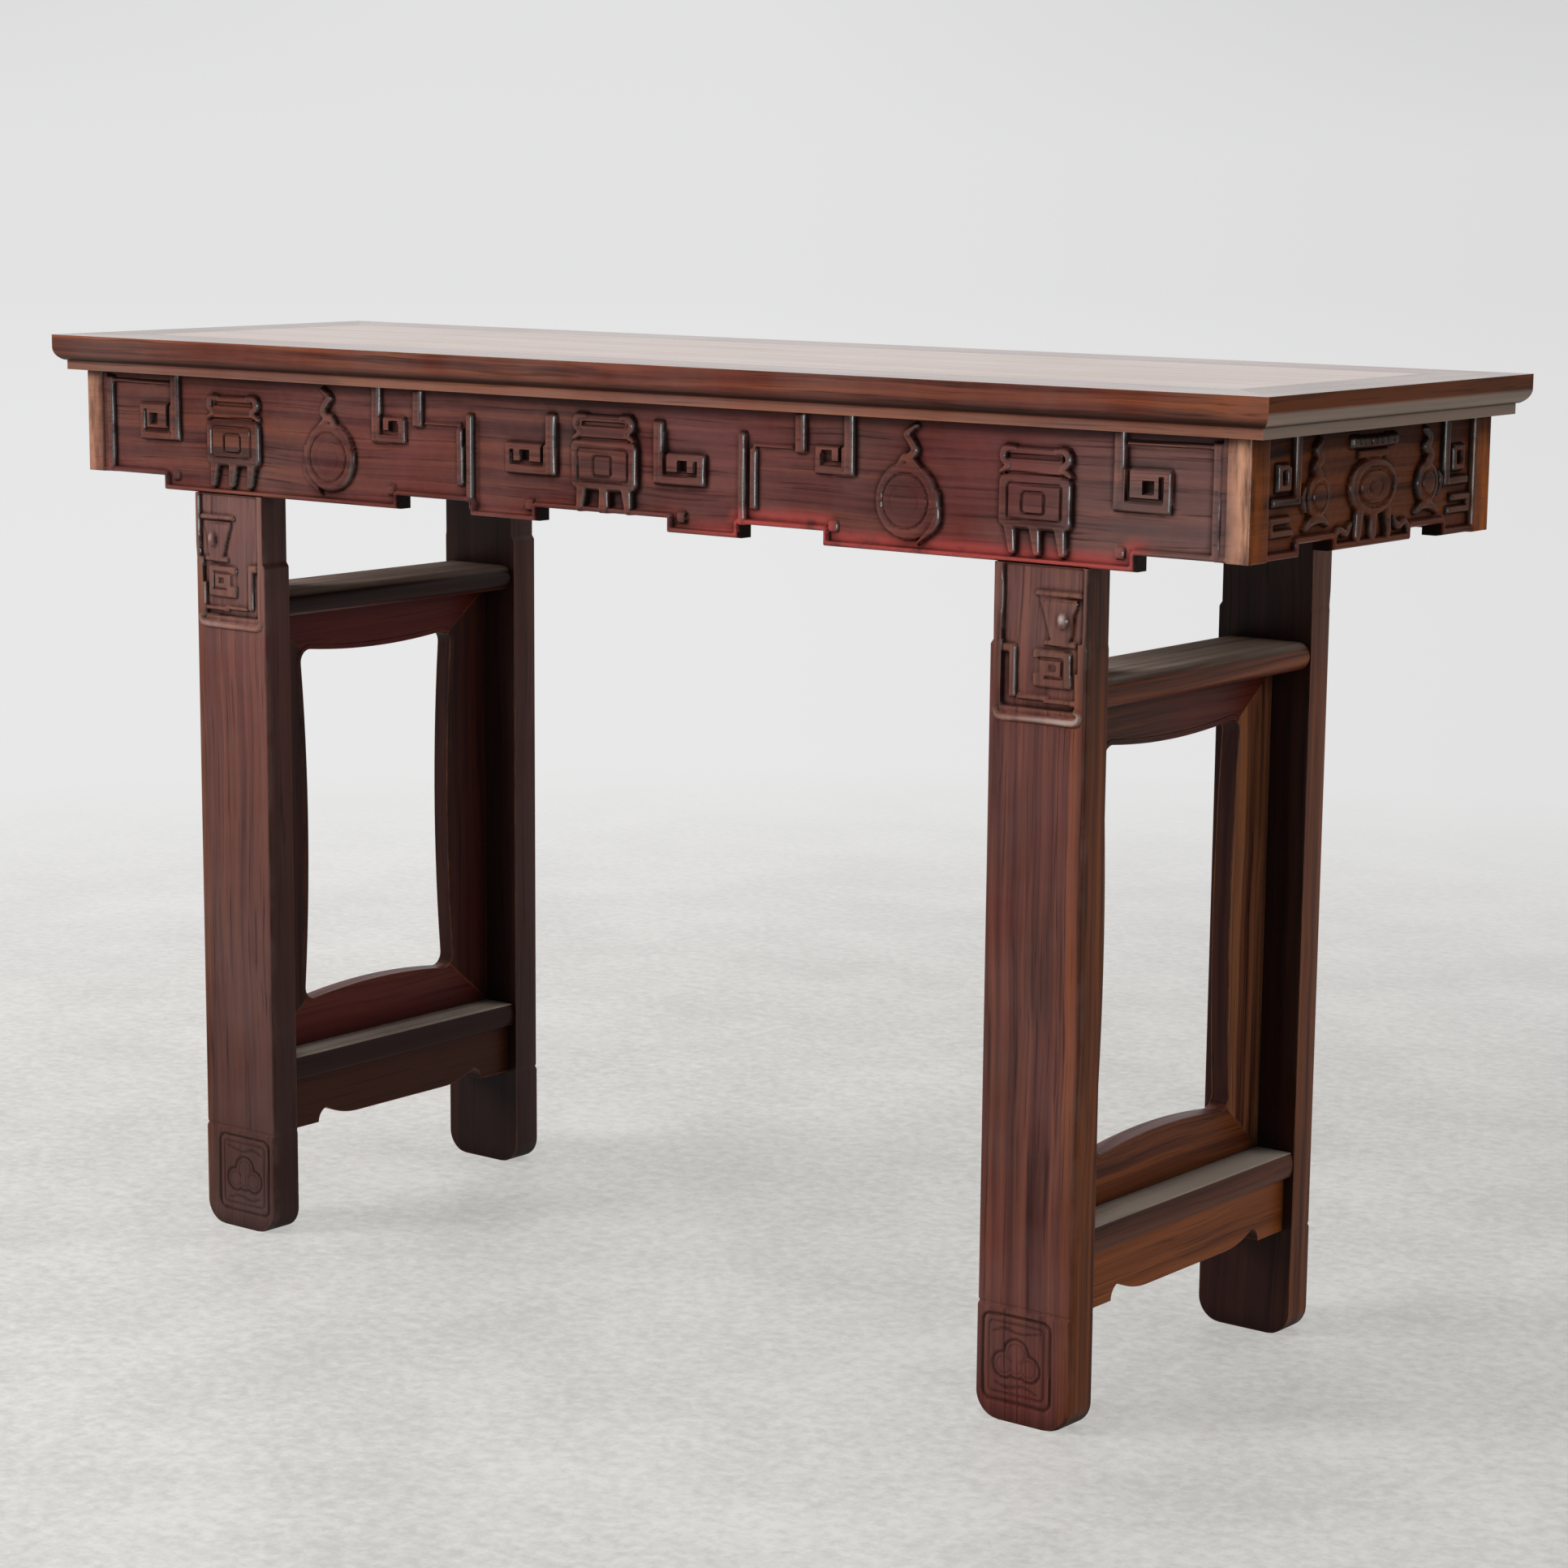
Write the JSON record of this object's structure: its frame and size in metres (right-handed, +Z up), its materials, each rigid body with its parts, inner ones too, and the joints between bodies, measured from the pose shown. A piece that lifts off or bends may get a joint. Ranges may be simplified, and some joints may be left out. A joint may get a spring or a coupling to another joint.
{
  "type": "altar table",
  "caption": "Long, narrow altar table with a framed panel top, stepped carved aprons, flat board legs set in from the ends, and a curved inner frame between each pair of legs.",
  "frame": {"origin": "on the floor under the middle of the top", "axes": "+X along the front towards the right-hand end, +Y from the front to the back, +Z up"},
  "size_m": [1.348, 0.42, 0.85],
  "materials": {
    "hardwood": "satin",
    "panel_wood": "satin",
    "batten_wood": "matte"
  },
  "bodies": {
    "root": {"apron_back": "hardwood", "apron_front": "hardwood", "apron_left": "hardwood", "apron_right": "hardwood", "inner_back_left": "hardwood", "inner_back_right": "hardwood", "inner_bottom_left": "hardwood", "inner_bottom_right": "hardwood", "inner_front_left": "hardwood", "inner_front_right": "hardwood", "inner_top_left": "hardwood", "inner_top_right": "hardwood", "leg_back_left": "hardwood", "leg_back_right": "hardwood", "leg_front_left": "hardwood", "leg_front_right": "hardwood", "lower_apron_inner_left": "hardwood", "lower_apron_inner_right": "hardwood", "lower_apron_outer_left": "hardwood", "lower_apron_outer_right": "hardwood", "lower_rail_left": "hardwood", "lower_rail_right": "hardwood", "top_batten_1": "batten_wood", "top_batten_2": "batten_wood", "top_batten_3": "batten_wood", "top_batten_4": "batten_wood", "top_board_back": "panel_wood", "top_board_front": "panel_wood", "top_board_middle": "panel_wood", "top_end_left": "hardwood", "top_end_right": "hardwood", "top_rail_back": "hardwood", "top_rail_front": "hardwood", "upper_rail_left": "hardwood", "upper_rail_right": "hardwood"}
  },
  "joints": []
}
